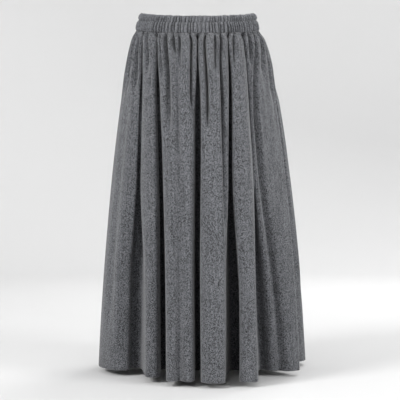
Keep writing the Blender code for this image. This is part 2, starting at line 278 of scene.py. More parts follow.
# Waistband rows: share of its height from the top, stand-off in millimetres, strength of the ribs
BAND_SHARES = np.array([0.0, 0.05, 0.12, 0.24, 0.33, 0.375, 0.42, 0.52, 0.70, 0.86, 0.95, 1.0])
BAND_STAND_OFF = np.array([-1.2, -0.2, 0.4, 0.5, -0.6, -1.7, -0.6, 0.5, 0.6, 0.0, -0.8, -1.3])
BAND_RIBS = np.array([0.35, 0.70, 0.95, 1.0, 0.75, 0.50, 0.75, 1.05, 1.15, 1.10, 0.90, 0.65])
STITCH_SHARE = 0.375
STITCH_GROOVE = 0.02
STITCH_BLEND = 0.05
RIB_COLUMNS = 8
BAND_ROW_COUNT = 30
BAND_SEED = 7
RIM_HEIGHT = 1.1 * MM

# The band's ribs: least and most of their widths, slants and heights, above the stitching and
# below it, and how their ridges are rounded
RIB_WIDTHS = (0.55, 1.45)
HEADER_SLANTS = (-0.35, 0.75)
LOWER_SLANTS = (-0.30, 0.30)
HEADER_HEIGHTS = (0.55, 1.25)
LOWER_HEIGHTS = (0.60, 1.25)
HEADER_SHIFT = 0.30
HEADER_LEAN = 1.6
RIDGE_CURVE = 1.7
RIDGE_MIDDLE = 1.1
TOP_WAVE = 0.9 * MM
TOP_WAVE_SHARE = 0.15

# Threads: the rings of one stitch, as (share of its length, share of its radius), then the length
# and radius of the stitches, where they lie, and how much lighter their light strands are
STITCH_RINGS = ((-0.5, 0.25), (-0.28, 1.0), (0.28, 1.0), (0.5, 0.25))
STITCH_SIDES = 6
BAND_STITCH = (2.6 * MM, 0.45 * MM)
HEM_STITCH = (2.4 * MM, 0.42 * MM)
FIRST_STITCH_COLUMN = 2
COLUMNS_A_STITCH = 4
HEM_STITCHES_BETWEEN = (0.008, 0.003)
HEM_STITCH_PLACE = 0.7
FIRST_HEM_STITCH = 0.003
HEM_STITCH_AHEAD = 0.001
LIGHTER_THREAD = 1.9

# The flannel's marks: how many to the metre across and down the cloth, how fine and rough they
# are, and how much they shade and raise the cloth
Mark = namedtuple("Mark", "across down detail roughness shade height")
FIBRE = Mark(1300.0, 900.0, 2.0, 0.6, 0.0, 0.7)
SPECKLE = Mark(410.0, 290.0, 3.0, 0.85, 1.0, 0.3)
STREAK = Mark(230.0, 10.0, 2.0, 0.6, 0.7, 0.3)
FLECKS_ACROSS = 980.0
FLECKS_DOWN = 680.0
FLECKS_RAGGED = 2.0
FLECK_SHADE = 1.25
MOTTLE_SHADE = 0.25
CLOTH_ROUGHNESS = 0.86
FIBRE_ROUGHNESS = 0.12

# Its broken twill: width of a stripe, its slope, the lines' pitch and how far they wander
TWILL_STRIPE = 0.018
TWILL_SLOPE = 0.8
TWILL_PITCH = 0.0042
TWILL_WANDER = 0.0016
TWILL_SHADE = 0.06
TWILL_HEIGHT = 0.15

# The studio: the paper's depth below the skirt, its plan radii and rise and the painted shade
# that darkens it near the skirt, the lights' shares of the key light's power, and the camera
FLOOR_BELOW = 0.012
PAPER_SIDES = 96
PAPER_FLAT = (1.2, 3.2)
PAPER_BEND = 1.6
PAPER_BEND_FROM = 0.1
PAPER_BEND_STEPS = 14
PAPER_TOP = (4.8, 5.0)
PAINTED_SHADE_FADE_FROM = 0.8
PAINTED_SHADE_FADE_RUN = 2.4
PAPER_GRAIN = 0.04
PAPER_PAINTED_SHADE = 0.80
AIM_ABOVE = 0.40
AIR_STRENGTH = 0.36
LENS_MM = 99.14
SENSOR_MM = 36.0
CAMERA_PLACE = (0.0045, -2.5, -0.4038)
Light = namedtuple("Light", "name place share size")
LIGHTS = (
    Light("key_light", (-2.4, -2.2, 1.2), 1.0, 1.2),
    Light("fill_light", (2.7, -1.8, 0.4), 0.70, 1.4),
    Light("top_light", (0.0, -0.9, 2.6), 0.14, 1.6),
    Light("back_light", (1.4, 2.2, 1.9), 0.60, 1.8),
)


class SkirtSizes(bpy.types.PropertyGroup):
    """Sizes that a maker would change."""

    drop: bpy.props.FloatProperty(
        name="Drop", description="Waist seam to hem at the side", default=0.7615, unit="LENGTH"
    )
    band_height: bpy.props.FloatProperty(
        name="Band height", description="Height of the waistband", default=0.038, unit="LENGTH"
    )
    band_wall: bpy.props.FloatProperty(
        name="Band wall",
        description="Two layers of cloth with the elastic between them",
        default=0.004,
        unit="LENGTH",
    )
    cloth_wall: bpy.props.FloatProperty(
        name="Cloth thickness",
        description="Thickness of the flannel",
        default=0.0016,
        unit="LENGTH",
    )
    ribs: bpy.props.IntProperty(
        name="Ribs", description="Ruffles round the waistband", default=120, min=24
    )
    rib_height: bpy.props.FloatProperty(
        name="Rib height", description="Half the height of a ruffle", default=0.0030, unit="LENGTH"
    )
    crease_strength: bpy.props.FloatProperty(
        name="Creases", description="Depth of the creases", default=1.2, subtype="FACTOR"
    )
    stitch_pitch: bpy.props.FloatProperty(
        name="Stitch pitch", description="Hem stitch spacing", default=0.0062, unit="LENGTH"
    )


class SkirtColours(bpy.types.PropertyGroup):
    """Colours of the cloth, thread and studio."""

    dark_fibre: bpy.props.FloatVectorProperty(
        name="Dark fibre",
        description="Darkest fibres of the flannel",
        default=(0.009, 0.0095, 0.011),
        subtype="COLOR",
    )
    light_fibre: bpy.props.FloatVectorProperty(
        name="Light fibre",
        description="Lightest fibres of the flannel",
        default=(0.137, 0.141, 0.153),
        subtype="COLOR",
    )
    thread: bpy.props.FloatVectorProperty(
        name="Thread", description="Sewing thread", default=(0.030, 0.031, 0.034), subtype="COLOR"
    )
    floor: bpy.props.FloatVectorProperty(
        name="Floor", description="Studio floor", default=(0.785, 0.785, 0.785), subtype="COLOR"
    )
    key_power: bpy.props.FloatProperty(
        name="Key light", description="Power of the main light", default=116.0, unit="POWER"
    )


def smooth(share):
    """Smooth step from 0 to 1."""
    share = np.clip(share, 0.0, 1.0)
    return share * share * (3.0 - 2.0 * share)


def mix(start, end, share):
    return start + (end - start) * share


def oval(bearing, half_width, half_depth):
    """Plan point on an oval round the waist, with bearing 0 at the front."""
    across = SEAM_CENTRE_X + half_width * np.sin(bearing)
    return across - 1j * half_depth * np.cos(bearing)


def waist_dip(bearing):
    """How far the waist dips at a bearing, most at the front."""
    forward = np.cos(bearing)
    return WAIST_DIP * (np.hypot(forward, DIP_BLEND) + forward - DIP_BLEND) / 2.0


def seam_bearing(points):
    across = (points.real - SEAM_CENTRE_X) / SEAM_HALF_WIDTH
    return np.arctan2(across, -points.imag / SEAM_HALF_DEPTH)


def flare(share):
    """How far the cloth has come from the waist oval to its place at the hem."""
    sprung = 1.0 - np.exp(-share / SPRING_DROP)
    hung = share * (1.0 + FLARE_CURVE - FLARE_CURVE * share)
    return SPRING_SHARE * sprung + (1.0 - SPRING_SHARE) * hung


def clear_of_figure(floor, mouth, share):
    """Moves slots' floors towards their mouths until they are outside the general figure."""
    last = len(FIGURE_SHARES) - 2
    upper = np.clip(np.searchsorted(FIGURE_SHARES, share, side="right") - 1, 0, last)
    stretch = FIGURE_SHARES[upper + 1] - FIGURE_SHARES[upper]
    between = smooth((share - FIGURE_SHARES[upper]) / stretch)
    half_width = mix(FIGURE_HALF_WIDTHS[upper], FIGURE_HALF_WIDTHS[upper + 1], between)
    half_depth = mix(FIGURE_HALF_DEPTHS[upper], FIGURE_HALF_DEPTHS[upper + 1], between)
    start, end = (
        (point.real - SEAM_CENTRE_X) / half_width + 1j * point.imag / half_depth
        for point in (floor, mouth)
    )
    run = end - start
    along = (start * run.conj()).real / np.abs(run)
    reach = np.sqrt(np.maximum(along * along + 1.0 - np.abs(start) ** 2, 0.0)) - along
    way = np.where(np.abs(start) >= 1.0, 0.0, reach / np.abs(run))
    return mix(floor, mouth, np.minimum(way, NEAREST_MOUTH))


def face_columns(fold, before, share):
    """Plan points of a fold's face, a row for each share of the drop."""
    places = np.linspace(-1.0, 1.0, FACE_COLUMNS)
    count = max(LEAST_AT_SEAM, 2 * fold.gathers + 1)
    index = (places + 1.0) / 2.0 * (count - 1) + 1.0
    bearing = np.radians(mix(before, fold.seam, index / (count + 1)))
    along = np.exp(1j * np.radians(fold.facing))
    roll = np.where(places > 0.0, fold.roll_right, fold.roll_left) * np.abs(places) ** ROLL_CURVE
    aside = places * fold.width / 2.0 - np.sign(places) * ROLL_ASIDE * roll
    inward = fold.sag * np.abs(places) ** FACE_CURVE + roll
    at_hem = (complex(fold.x, fold.y) + along * (aside + 1j * inward)) * MM
    waist = oval(bearing, SEAM_HALF_WIDTH, SEAM_HALF_DEPTH)
    return mix(waist, at_hem, flare(share))


def slot_columns(fold, lip, next_lip, share):
    """Plan points of a slot: wall, left floor, middle, right floor, wall."""
    mouth = (lip + next_lip) / 2.0
    seam = math.radians(fold.seam)
    groove_depth = mix(SEAM_PINCH * GROOVE_DEPTH, GROOVE_DEPTH, smooth(share / PINCH_DROP))
    groove = mouth - np.exp(1j * (seam - math.pi / 2.0)) * groove_depth
    waist = oval(seam, SEAM_HALF_WIDTH, SEAM_HALF_DEPTH)
    hung = mix(waist, complex(fold.floor_x, fold.floor_y) * MM, share)
    opened = smooth((share - fold.start) / FOLD_OPENING)
    middle = mix(groove, clear_of_figure(hung, mouth, share), opened)
    outward = (mouth - middle) / np.abs(mouth - middle)
    below = smooth((share - SEAM_SLOT_SHARE) / SEAM_SLOT_RUN)
    near_seam = smooth(share / PINCH_DROP) * (1.0 - below)
    middle = middle - outward * SEAM_SLOT_DEPTH * near_seam
    depth = np.abs(mouth - middle)
    across = 1j * outward
    upper_gap = UPPER_GAP_SHARE * np.abs(next_lip - lip)
    half_gap = mix(upper_gap, fold.gap * MM / 2.0, smooth(share / GAP_RUN))
    half_gap = np.minimum(half_gap, SLOT_ROUNDNESS * depth)
    bow = WALL_BOW * smooth(share / WALL_BOW_RUN)
    left = middle - across * half_gap
    right = middle + across * half_gap
    return [
        (lip + left) / 2.0 - across * bow,
        left,
        middle - outward * FLOOR_ROUNDNESS * half_gap,
        right,
        (right + next_lip) / 2.0 + across * bow,
    ]


def draw_mouths_in(faces, share):
    """Draws the lips together over the slots, which gape only further down, and lets them waver."""
    gaping = smooth((share - MOUTH_OPENS) / MOUTH_RUN)
    below = smooth((share - GATHERED_SHARE) / GATHERED_RUN)
    gathered = smooth(share / GATHERED_START) * (1.0 - below)
    bent = 4.0 * share * (1.0 - share)
    shifts = []
    for number, fold in enumerate(FOLDS):
        drawn = (1.0 - mix(fold.mouth, 1.0, gaping)) * smooth(share / DRAWN_RUN)
        drawn = np.maximum(drawn, GATHERED_MOUTH * gathered)
        apart = faces[(number + 1) % len(faces)][:, :1] - faces[number][:, -1:]
        swing = np.sin(WAVER_TURN * share + WAVER_APART * number)
        waver = WAVER_MM * smooth(share / WAVER_START) * swing
        aside = apart / np.abs(apart) * (fold.lean * bent + waver) * MM
        shifts.append((apart * drawn / 2.0 + aside, aside - apart * drawn / 2.0))
    way = np.linspace(0.0, 1.0, FACE_COLUMNS)
    return [
        face + shifts[number][0] * way**2 + shifts[number - 1][1] * (1.0 - way) ** 2
        for number, face in enumerate(faces)
    ]


def rounded_rings(points, steps):
    """Closed centripetal splines through the rings, one a row, and steps columns a point."""
    p0, p1, p2, p3 = (np.roll(points, shift, axis=1) for shift in (1, 0, -1, -2))
    t1 = np.sqrt(np.abs(p1 - p0))
    t2 = t1 + np.sqrt(np.abs(p2 - p1))
    t3 = t2 + np.sqrt(np.abs(p3 - p2))
    columns = []
    for step in range(steps):
        t = mix(t1, t2, step / steps)
        a1 = mix(p0, p1, t / t1)
        a2 = mix(p1, p2, (t - t1) / (t2 - t1))
        a3 = mix(p2, p3, (t - t2) / (t3 - t2))
        b1 = mix(a1, a2, t / t2)
        b2 = mix(a2, a3, (t - t1) / (t3 - t1))
        columns.append(mix(b1, b2, (t - t1) / (t2 - t1)))
    return np.stack(columns, axis=2).reshape(len(points), -1)


def outward_normals(rings):
    run = np.roll(rings, -1, axis=1) - np.roll(rings, 1, axis=1)
    return -1j * run / np.abs(run)


def path_at(path, share):
    """Place across a face at each share of the drop, on a path eased through its points."""
    shares, places = (np.array(part) for part in zip(*path))
    fine = np.linspace(shares[0], shares[-1], PATH_STEPS)
    reach = PATH_EASE * (shares[-1] - shares[0])
    eased = sum(np.interp(fine + shift * reach, shares, places) for shift in (-1, 0, 1)) / 3.0
    return np.interp(share, fine, eased)


def crease_insets(across, share, crease, strength):
    """How deep one crease sets its fold's block in, with a low shoulder on both sides of it."""
    start, end = crease.path[0][0], crease.path[-1][0]
    columns = (path_at(crease.path, share) + 1.0) * (FACE_COLUMNS - 1) / 2.0 + BEFORE_FACE
    columns = columns * FINENESS
    rows = np.arange(len(share))
    lower = columns.astype(int)
    centre = mix(across[rows, lower], across[rows, lower + 1], columns - lower)
    down = np.clip((share - start) / (end - start), 0.0, 1.0)
    run_out = min(FADE_SHARE * (end - start), LONGEST_FADE)
    fade = smooth((share - start) / CREASE_FADE) * smooth((end - share) / run_out)
    pinched = mix(PINCHED_CREASE, 1.0, smooth(share / PINCH_DROP))
    depth = mix(*crease.depths, down) * fade * pinched * strength * MM
    width = mix(*crease.widths, down) * MM
    beside = (across - centre[:, None]) / width[:, None]
    profile = np.exp(-(beside**2)) - SHOULDER * np.exp(-((beside / SHOULDER_WIDTH) ** 2))
    return depth[:, None] * profile / (1.0 - SHOULDER)


def wrinkle_insets(number, across, share, half_width):
    """Faint long wrinkles on one fold's face, each on a drifting line of its own."""
    chance = np.random.default_rng(WRINKLE_SEED + number)
    total = np.zeros_like(across)
    for _ in range(WRINKLES_PER_FOLD):
        place, drift, start, width, depth = chance.uniform(LEAST_WRINKLE, MOST_WRINKLE)
        centre = (place + drift * share) * half_width
        end = start + chance.uniform(*WRINKLE_RUNS)
        fade = smooth((share - start) / WRINKLE_FADE_IN) * smooth((end - share) / WRINKLE_FADE_OUT)
        beside = (across - centre[:, None]) / (width * MM * (WRINKLE_FLARE + share[:, None]))
        total += depth * WRINKLE_DEPTH * fade[:, None] * np.exp(-(beside**2))
    return total


def across_folds(rings):
    """How far each column lies across the cloth from the middle of its fold, a block a fold."""
    steps = np.abs(np.roll(rings, -1, axis=1) - rings)
    walked = np.concatenate([np.zeros((len(rings), 1)), np.cumsum(steps, axis=1)], axis=1)
    face_middle = (BEFORE_FACE + (FACE_COLUMNS - 1) // 2) * FINENESS
    blocks = [walked[:, i * BLOCK : (i + 1) * BLOCK + 1] for i in range(len(FOLDS))]
    return np.stack([block - block[:, face_middle : face_middle + 1] for block in blocks])


HungCloth = namedtuple("HungCloth", "middle outward across share")


def hang_cloth(sizes):
    """The middle of the skirt's cloth, row by row, with each column's place across its fold."""
    share = np.concatenate([[0.0], *(np.linspace(*run)[1:] for run in ROW_RUNS)])
    hem = 1.0 - HEM_ROWS / sizes.drop
    share = np.concatenate([share[share < hem[0] - ROW_CLEARANCE], hem])
    column = share[:, None]
    faces = [
        face_columns(fold, FOLDS[i - 1].seam - (360.0 if i == 0 else 0.0), column)
        for i, fold in enumerate(FOLDS)
    ]
    faces = draw_mouths_in(faces, column)
    parts = []
    for i, fold in enumerate(FOLDS):
        next_lip = faces[(i + 1) % len(faces)][:, :1]
        parts += [faces[i], *slot_columns(fold, faces[i][:, -1:], next_lip, column)]
    rings = rounded_rings(np.concatenate(parts, axis=1), FINENESS)
    rings = np.roll(rings, BEFORE_FACE * FINENESS, axis=1)

    from_floor = np.minimum(np.arange(BLOCK + 1), np.arange(BLOCK, -1, -1))
    edge = smooth(from_floor / (FLOOR_FADE * FINENESS))
    insets = []
    for i, (fold, block) in enumerate(zip(FOLDS, across_folds(rings))):
        half_width = block[:, (BEFORE_FACE + FACE_COLUMNS - 1) * FINENESS]
        inset = wrinkle_insets(i, block, share, half_width)
        for crease in CREASES:
            if crease.fold == fold.name:
                inset = inset + crease_insets(block, share, crease, sizes.crease_strength)
        insets.append((inset * edge)[:, :-1])
    turns = sizes.ribs * seam_bearing(rings) / (2.0 * math.pi)
    pucker = np.abs(np.cos(math.pi * turns)) ** PUCKER_CURVE
    pucker *= 1.0 - smooth(column / PUCKER_DROP)
    puckered = PUCKER_DEPTH * (pucker - PUCKER_MIDDLE * (pucker > 0))
    inset = np.concatenate(insets, axis=1) + puckered
    middle = rings - outward_normals(rings) * inset
    return HungCloth(middle, outward_normals(middle), across_folds(middle), share)


def hem_height(points, sizes):
    """Heights along the hem, which lifts towards the inside of the folds."""
    lift = HEM_LIFT * np.maximum(0.0, 1.0 - np.abs(points) / HEM_REACH)
    return lift - sizes.band_height / 2.0 - sizes.drop


def cloth_heights(plan, cloth, sizes):
    top = -sizes.band_height / 2.0 - SEAM_GAP - waist_dip(seam_bearing(plan[:1]))
    return mix(top, hem_height(plan[-1:], sizes), cloth.share[:, None])


def as_points(plan, heights):
    return np.stack([plan.real, plan.imag, heights], axis=-1)


def sew(name, rows, across, down, closed):
    """A shell from profile rows that run down its outside and up its inside, as one closed loop.

    across holds each face's left and right distance along the cloth, and down each row's."""
    count, columns = rows.shape[:2]
    spans = columns if closed else columns - 1
    index = np.arange(count * columns).reshape(count, columns)
    here = index[:, :spans]
    right = np.roll(index, -1, axis=1)[:, :spans]
    below, below_right = np.roll(here, -1, axis=0), np.roll(right, -1, axis=0)
    faces = np.stack([here, below, below_right, right], axis=-1).reshape(-1, 4).tolist()
    left_u, right_u = across
    next_left, next_right = np.roll(left_u, -1, axis=0), np.roll(right_u, -1, axis=0)
    next_down = np.concatenate([down[1:], down[:1]])
    high = np.broadcast_to(down[:, None], left_u.shape)
    low = np.broadcast_to(next_down[:, None], left_u.shape)
    corners = [(left_u, high), (next_left, low), (next_right, low), (right_u, high)]
    uvs = np.stack([np.stack(corner, axis=-1) for corner in corners], axis=2).reshape(-1, 2)
    uvs = uvs.tolist()
    if not closed:
        for side, flip in ((0, False), (columns - 1, True)):
            for i in range(count // 2 - 1):
                j = count - 1 - i
                cap = [index[i, side], index[j, side], index[j - 1, side], index[i + 1, side]]
                faces.append(cap[::-1] if flip else cap)
                uvs += [(0.0, down[i])] * 4
            i = count // 2 - 1
            cap = [index[i, side], index[i + 2, side], index[i + 1, side]]
            faces.append(cap[::-1] if flip else cap)
            uvs += [(0.0, down[i])] * 3
    mesh = bpy.data.meshes.new(name)
    mesh.from_pydata(rows.reshape(-1, 3).tolist(), [], faces)
    mesh.uv_layers.new(name="cloth").uv.foreach_set("vector", np.array(uvs).ravel())
    mesh.shade_smooth()
    piece = bpy.data.objects.new(name, mesh)
    bpy.context.scene.collection.objects.link(piece)
    return piece


def stand_off(cloth, side, wall):
    """Plan points beside the cloth's middle, drawn nearer to it where a bend is too tight."""
    before = cloth.middle - np.roll(cloth.middle, 1, axis=1)
    after = np.roll(cloth.middle, -1, axis=1) - cloth.middle
    bend = -2.0 * side * np.angle(after / before) / (np.abs(before) + np.abs(after))
    tightest = np.maximum.reduce([np.roll(bend, shift, axis=1) for shift in (-1, 0, 1)])
    offset = np.minimum(wall, TIGHT_BEND / np.maximum(tightest, GENTLE_BEND))
    offset = sum(np.roll(offset, shift, axis=1) for shift in (-1, 0, 1)) / 3.0
    return cloth.middle + side * cloth.outward * offset


def panel_rows(cloth, sizes):
    """Profile rows of the whole skirt: down the outside, round the hem, and up the inside."""
    share = cloth.share
    outside = stand_off(cloth, 1.0, sizes.cloth_wall / 2.0)
    turned_up = smooth((share - 1.0 + TURN_UP / sizes.drop) / TURN_UP_STEP)[:, None]
    wall = sizes.cloth_wall * (0.5 + TURN_UP_WALL * turned_up)
    inside = stand_off(cloth, -1.0, wall)
    heights = [cloth_heights(plan, cloth, sizes) for plan in (outside, inside)]
    edge = (outside[-1:] + inside[-1:]) / 2.0
    edge_height = (heights[0][-1:] + heights[1][-1:]) / 2.0 - HEM_EDGE
    return np.concatenate(
        [
            as_points(outside, heights[0]),
            as_points(edge, edge_height),
            as_points(inside, heights[1])[::-1],
        ]
    )


def panel_across(cloth):
    """Distances across the cloth at each face's left and right edge, for every profile row."""
    rows = np.arange(len(cloth.share))
    pick = np.concatenate([rows, [-1], rows[::-1]])
    sides = []
    for part in (slice(0, BLOCK), slice(1, BLOCK + 1)):
        blocks = [block[:, part] + FOLDS_APART * i for i, block in enumerate(cloth.across)]
        sides.append(np.concatenate(blocks, axis=1)[pick])
    return sides


def sew_panel(name, node, first, last, cloth, sizes, finish):
    """One panel from the slot middle before fold first to the one after fold last - 1."""
    rows = panel_rows(cloth, sizes)
    columns = np.arange(first * BLOCK, last * BLOCK + 1) % rows.shape[1]
    rows = rows[:, columns]
    for end, neighbour in ((0, 1), (-1, -2)):
        run = rows[:, neighbour] - rows[:, end]
        run[:, 2] = 0.0
        run /= np.linalg.norm(run, axis=1)[:, None]
        rows[:, end] += run * SEAM_GAP / 2.0
    across = [side[:, first * BLOCK : last * BLOCK] for side in panel_across(cloth)]
    fall = cloth.share * sizes.drop
    down = -np.concatenate([fall, [fall[-1] + EDGE_ROUND], fall[::-1]])
    panel = sew(name, rows, across, down, closed=False)
    panel.data.materials.append(finish)
    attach(panel, "root")
    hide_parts(node)
    return panel


def band_rows(sizes):
    """Outer and inner rows of the waistband: uneven ribs, split by the stitching into two rows."""
    chance = np.random.default_rng(BAND_SEED)
    ribs = sizes.ribs
    share = np.linspace(0.0, 1.0, BAND_ROW_COUNT)
    groove = [STITCH_SHARE - STITCH_GROOVE, STITCH_SHARE, STITCH_SHARE + STITCH_GROOVE]
    share = np.sort(np.append(share, groove))
    rib = np.arange(ribs * RIB_COLUMNS) / RIB_COLUMNS
    lies = np.arange(ribs)

    def round_the_band(values):
        """Values for each rib, eased from rib to rib round the band."""
        return np.interp(rib, np.append(lies, ribs), np.append(values, values[0]))

    widths = chance.uniform(*RIB_WIDTHS, ribs)
    edges = np.concatenate([[0.0], np.cumsum(widths)]) / widths.sum() * ribs
    placed = np.interp(rib, np.arange(ribs + 1), edges)
    header = smooth((STITCH_SHARE - share) / STITCH_BLEND + 0.5)[:, None]
    slant = round_the_band(chance.uniform(*HEADER_SLANTS, ribs))
    lower_slant = round_the_band(chance.uniform(*LOWER_SLANTS, ribs))
    up = (STITCH_SHARE - share)[:, None]
    header_shift = HEADER_SHIFT + HEADER_LEAN * slant * up
    shift = header * header_shift + (1.0 - header) * lower_slant * up
    bearing = (placed[None, :] + shift) * 2.0 * math.pi / ribs
    ridge = 1.0 - np.abs(2.0 * (rib % 1.0) - 1.0) ** RIDGE_CURVE
    header_tall = np.repeat(chance.uniform(*HEADER_HEIGHTS, ribs), RIB_COLUMNS)
    lower_tall = np.repeat(chance.uniform(*LOWER_HEIGHTS, ribs), RIB_COLUMNS)
    tall = header * header_tall + (1.0 - header) * lower_tall
    strength = np.interp(share, BAND_SHARES, BAND_RIBS)[:, None] * sizes.rib_height
    ruffle = strength * tall * (2.0 * ridge - RIDGE_MIDDLE)
    swell = np.interp(share, BAND_SHARES, BAND_STAND_OFF)[:, None] * MM
    half_width = mix(BAND_TOP_HALF_WIDTH, SEAM_HALF_WIDTH, share)[:, None] + swell
    half_depth = mix(BAND_TOP_HALF_DEPTH, SEAM_HALF_DEPTH, share)[:, None] + swell
    middle = oval(bearing, half_width, half_depth)
    outward = outward_normals(middle)
    outside = middle + outward * (sizes.band_wall / 2.0 + ruffle)
    inside = middle - outward * (sizes.band_wall - ruffle) / 2.0
    fall = sizes.band_height * (0.5 - share)[:, None]
    top_wave = TOP_WAVE * np.repeat(chance.uniform(-1.0, 1.0, ribs), RIB_COLUMNS)
    fall = fall + top_wave * smooth(1.0 - share[:, None] / TOP_WAVE_SHARE) * ridge
    points = [as_points(plan, fall - waist_dip(seam_bearing(plan))) for plan in (outside, inside)]
    return share, points


def thread_dashes(name, centres, runs, length, radius):
    """Short rounded threads, each along its own run."""
    sides = STITCH_SIDES
    vertices, faces = [], []
    for centre, run in zip(centres, runs):
        run = run / np.linalg.norm(run)
        side = np.cross(run, (0.0, 0.0, 1.0))
        side /= np.linalg.norm(side)
        above = np.cross(side, run)
        first = len(vertices)
        for along, thick in STITCH_RINGS:
            for k in range(sides):
                turn = 2.0 * math.pi * k / sides
                spoke = (side * math.cos(turn) + above * math.sin(turn)) * radius * thick
                vertices.append(centre + run * length * along + spoke)
        for ring in range(len(STITCH_RINGS) - 1):
            for k in range(sides):
                a, b = first + ring * sides + k, first + ring * sides + (k + 1) % sides
                faces.append((a, b, b + sides, a + sides))
        faces.append([first + k for k in reversed(range(sides))])
        faces.append([first + (len(STITCH_RINGS) - 1) * sides + k for k in range(sides)])
    mesh = bpy.data.meshes.new(name)
    mesh.from_pydata(vertices, [], faces)
    mesh.shade_smooth()
    piece = bpy.data.objects.new(name, mesh)
    bpy.context.scene.collection.objects.link(piece)
    return piece


class Number:
    """A number socket of a shader. Plain arithmetic on it adds the Math nodes."""

    def __init__(self, desk, socket):
        self.desk = desk
        self.socket = socket

    def done(self, operation, *others):
        values = [self.socket] + [o.socket if isinstance(o, Number) else o for o in others]
        return self.desk.number("ShaderNodeMath", {"operation": operation}, values)

    def __add__(self, other):
        return self.done("ADD", other)

    def __sub__(self, other):
        return self.done("SUBTRACT", other)

    def __rsub__(self, other):
        return self.done("MULTIPLY", -1.0).done("ADD", other)

    def __mul__(self, other):
        return self.done("MULTIPLY", other)

    def __truediv__(self, other):
        return self.done("DIVIDE", other)

    __radd__ = __add__
    __rmul__ = __mul__


class ShaderDesk:
    """Where one material's nodes are laid."""

    def __init__(self, name):
        self.material = bpy.data.materials.new(name)
        self.material.use_nodes = True
        self.tree = self.material.node_tree
        self.shader = self.tree.nodes["Principled BSDF"]

    def node(self, kind, settings, values):
        """Any node: its settings come first, then values or links by socket name or number."""
        made = self.tree.nodes.new(kind)
        for key, value in settings.items():
            setattr(made, key, value)
        places = values.items() if isinstance(values, dict) else enumerate(values)
        for key, value in places:
            value = value.socket if isinstance(value, Number) else value
            if isinstance(value, bpy.types.NodeSocket):
                self.tree.links.new(value, made.inputs[key])
            else:
                made.inputs[key].default_value = value
        return made

    def number(self, kind, settings, values):
        return Number(self, self.node(kind, settings, values).outputs[0])

    def noise(self, place, scale, detail, roughness=0.5):
        values = {"Vector": place, "Scale": scale, "Detail": detail, "Roughness": roughness}
        return self.number("ShaderNodeTexNoise", {}, values)

    def flecks(self, across, down):
        """A chance value of its own for each cell, one by one in size."""
        values = {"Vector": self.joined(across.done("FLOOR"), down.done("FLOOR"))}
        return self.number("ShaderNodeTexWhiteNoise", {"noise_dimensions": "2D"}, values)

    def across_and_down(self):
        """Distances across and down the cloth, in metres."""
        place = self.node("ShaderNodeUVMap", {"uv_map": "cloth"}, {}).outputs["UV"]
        parts = self.node("ShaderNodeSeparateXYZ", {}, [place])
        return place, Number(self, parts.outputs["X"]), Number(self, parts.outputs["Y"])

    def joined(self, x, y):
        return self.node("ShaderNodeCombineXYZ", {}, {"X": x, "Y": y}).outputs[0]

    def blend(self, share, first, second):
        values = {"Factor": share, 6: first, 7: second}
        return self.node("ShaderNodeMix", {"data_type": "RGBA"}, values).outputs[2]

    def bump(self, height, strength, distance):
        values = {"Strength": strength, "Distance": distance, "Height": height}
        return self.node("ShaderNodeBump", {}, values).outputs["Normal"]

    def feed(self, links, constants):
        """Links what varies to the shader, and sets its constants on its own sockets."""
        for key, socket in links.items():
            socket = socket.socket if isinstance(socket, Number) else socket
            self.tree.links.new(socket, self.shader.inputs[key])
        for key, value in constants.items():
            self.shader.inputs[key].default_value = value
        return self.material


def flannel(name, colours, depth, tone_and_painted_light):
    """Brushed grey flannel: light and dark fibres over a faint broken twill, matt and napped."""
    desk = ShaderDesk(name)
    place, across, down = desk.across_and_down()
    stripe = (across / TWILL_STRIPE).done("FRACT") - 0.5
    zigzag = stripe.done("ABSOLUTE") * TWILL_STRIPE
    slanted = down + zigzag * TWILL_SLOPE

    def marks(kind, lower):
        """The noise of one kind of mark."""
        at = desk.joined(across * kind.across, lower * kind.down)
        return desk.noise(at, scale=1.0, detail=kind.detail, roughness=kind.roughness)

    fibre = marks(FIBRE, slanted)
    speckle = marks(SPECKLE, down)
    streak = marks(STREAK, down)
    mottle = desk.noise(place, scale=30.0, detail=3.0, roughness=0.55)
    wander = desk.noise(place, scale=120.0, detail=1.0) * TWILL_WANDER
    twill = ((slanted + wander) * (2.0 * math.pi / TWILL_PITCH)).done("SINE")
    fleck = desk.flecks(
        across * FLECKS_ACROSS + fibre * FLECKS_RAGGED,
        slanted * FLECKS_DOWN + fibre * FLECKS_RAGGED,
    )
    # The waistband's raised tone here is painted light; the skirt's tone is the cloth's own.
    shade = tone_and_painted_light + (speckle - 0.5) * SPECKLE.shade + (fleck - 0.5) * FLECK_SHADE
    shade += (streak - 0.5) * STREAK.shade
    shade = shade + (mottle - 0.5) * MOTTLE_SHADE + twill * TWILL_SHADE
    shade = shade.done("MAXIMUM", 0.0).done("MINIMUM", 1.0)
    dark, light = (*colours.dark_fibre, 1.0), (*colours.light_fibre, 1.0)
    height = speckle * SPECKLE.height + fibre * FIBRE.height
    height = height + twill * TWILL_HEIGHT + streak * STREAK.height
    links = {
        "Base Color": desk.blend(shade, dark, light),
        "Roughness": CLOTH_ROUGHNESS + fibre * FIBRE_ROUGHNESS,
        "Normal": desk.bump(height, strength=0.30, distance=depth),
    }
    constants = {"Sheen Weight": 0.22, "Sheen Roughness": 0.55, "Specular IOR Level": 0.18}
    return desk.feed(links, constants)


def sewing_thread(name, colours):
    """Matt twisted thread."""
    desk = ShaderDesk(name)
    place = desk.node("ShaderNodeTexCoord", {}, {}).outputs["Object"]
    twist = desk.noise(place, scale=1400.0, detail=1.0)
    shade = [c * LIGHTER_THREAD for c in colours.thread]
    links = {
        "Base Color": desk.blend(twist, (*colours.thread, 1.0), (*shade, 1.0)),
        "Normal": desk.bump(twist, strength=0.5, distance=0.0003),
    }
    return desk.feed(links, {"Roughness": 0.8, "Specular IOR Level": 0.2})


